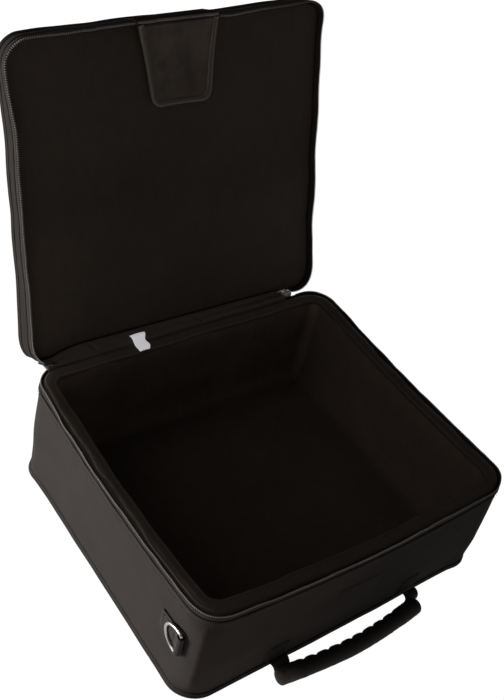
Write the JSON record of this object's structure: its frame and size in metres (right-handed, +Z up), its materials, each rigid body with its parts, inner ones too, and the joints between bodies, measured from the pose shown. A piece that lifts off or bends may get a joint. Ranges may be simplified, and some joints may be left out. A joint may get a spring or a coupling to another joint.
{
  "type": "soft padded carry case",
  "caption": "Soft padded carry case for small figures, with a zip-round lid, a hook-and-loop closing flap, a swinging rubber grip and a shoulder ring at each side.",
  "frame": {"origin": "centre of the case's underside, on the surface it stands on", "axes": "+X to the case's right, +Y to its back (the lid's hinge side), +Z up; the handle is on the -Y face"},
  "size_m": [0.3354, 0.4296, 0.3851],
  "materials": {
    "outer_fabric": "charcoal woven polyester, matt",
    "stiffener": "plain plastic board",
    "foam": "grey closed-cell foam padding",
    "lining_fabric": "black brushed lining",
    "piping": "black binding cloth",
    "zip_tape": "black woven tape",
    "zip_teeth": "dark nylon coil, slightly shiny",
    "hook_and_loop": "black hook and loop fastener",
    "label_cloth": "pale grey satin ribbon",
    "webbing": "black ribbed webbing",
    "leatherette": "black fine-grained imitation leather",
    "grip_rubber": "black moulded rubber, satin",
    "nickel": "bright nickel plate"
  },
  "bodies": {
    "base": {"base_bottom_panel": "outer_fabric", "base_side_band": "outer_fabric", "base_bottom_board": "stiffener", "base_bottom_foam": "foam", "base_front_foam": "foam", "base_back_foam": "foam", "base_left_foam": "foam", "base_right_foam": "foam", "base_lining": "lining_fabric", "base_rim_cover": "lining_fabric", "base_bottom_piping": "piping", "hinge_cloth_base_edge": "piping", "base_zip_tape": "zip_tape", "base_zip_teeth": "zip_teeth", "hook_landing_patch": "hook_and_loop", "care_label": "label_cloth", "d_ring_tab_left": "webbing", "d_ring_tab_right": "webbing", "handle_anchor_left": "leatherette", "handle_anchor_right": "leatherette"},
    "lid": {"lid_top_panel": "outer_fabric", "lid_gusset": "outer_fabric", "lid_board": "stiffener", "lid_foam": "foam", "lid_lining": "lining_fabric", "lid_top_piping": "piping", "hinge_cloth_lid_edge": "piping", "lid_zip_tape": "zip_tape", "lid_zip_teeth": "zip_teeth", "flap_root": "leatherette"},
    "flap": {"flap_panel": "leatherette", "flap_binding": "piping", "flap_hook_patch": "hook_and_loop"},
    "handle": {"handle_grip": "grip_rubber", "handle_core": "webbing", "handle_strap_left": "webbing", "handle_strap_right": "webbing"},
    "ring_left": {"d_ring_left": "nickel"},
    "ring_right": {"d_ring_right": "nickel"},
    "slider": {"zip_slider": "nickel"},
    "pull": {"zip_pull": "nickel"}
  },
  "joints": [
    {"name": "lid_hinge", "type": "hinge", "parent": "base", "child": "lid", "pos_m": [0, 0.142, 0.1127], "axis": [-1, 0, 0], "range_deg": [-107.6, 47.4]},
    {"name": "flap_hinge", "type": "hinge", "parent": "lid", "child": "flap", "pos_m": [0, 0.23263, 0.38483], "axis": [-1, 0, 0], "range_deg": [0, 180]},
    {"name": "handle_swing", "type": "hinge", "parent": "base", "child": "handle", "pos_m": [0, -0.1462, 0.014], "axis": [-1, 0, 0], "range_deg": [0, 84]},
    {"name": "ring_left_swing", "type": "hinge", "parent": "base", "child": "ring_left", "pos_m": [-0.164, -0.12415, 0.067], "axis": [0, 0, 1], "range_deg": [0, 180]},
    {"name": "ring_right_swing", "type": "hinge", "parent": "base", "child": "ring_right", "pos_m": [0.164, -0.12415, 0.067], "axis": [0, 0, -1], "range_deg": [0, 180]},
    {"name": "slider_travel", "type": "slide", "parent": "base", "child": "slider", "axis": [1, 0, 0], "range_m": [0, 0.006]},
    {"name": "pull_swing", "type": "hinge", "parent": "slider", "child": "pull", "pos_m": [0.1184, 0.14875, 0.1154], "axis": [0, 0, -1], "range_deg": [0, 180]}
  ]
}
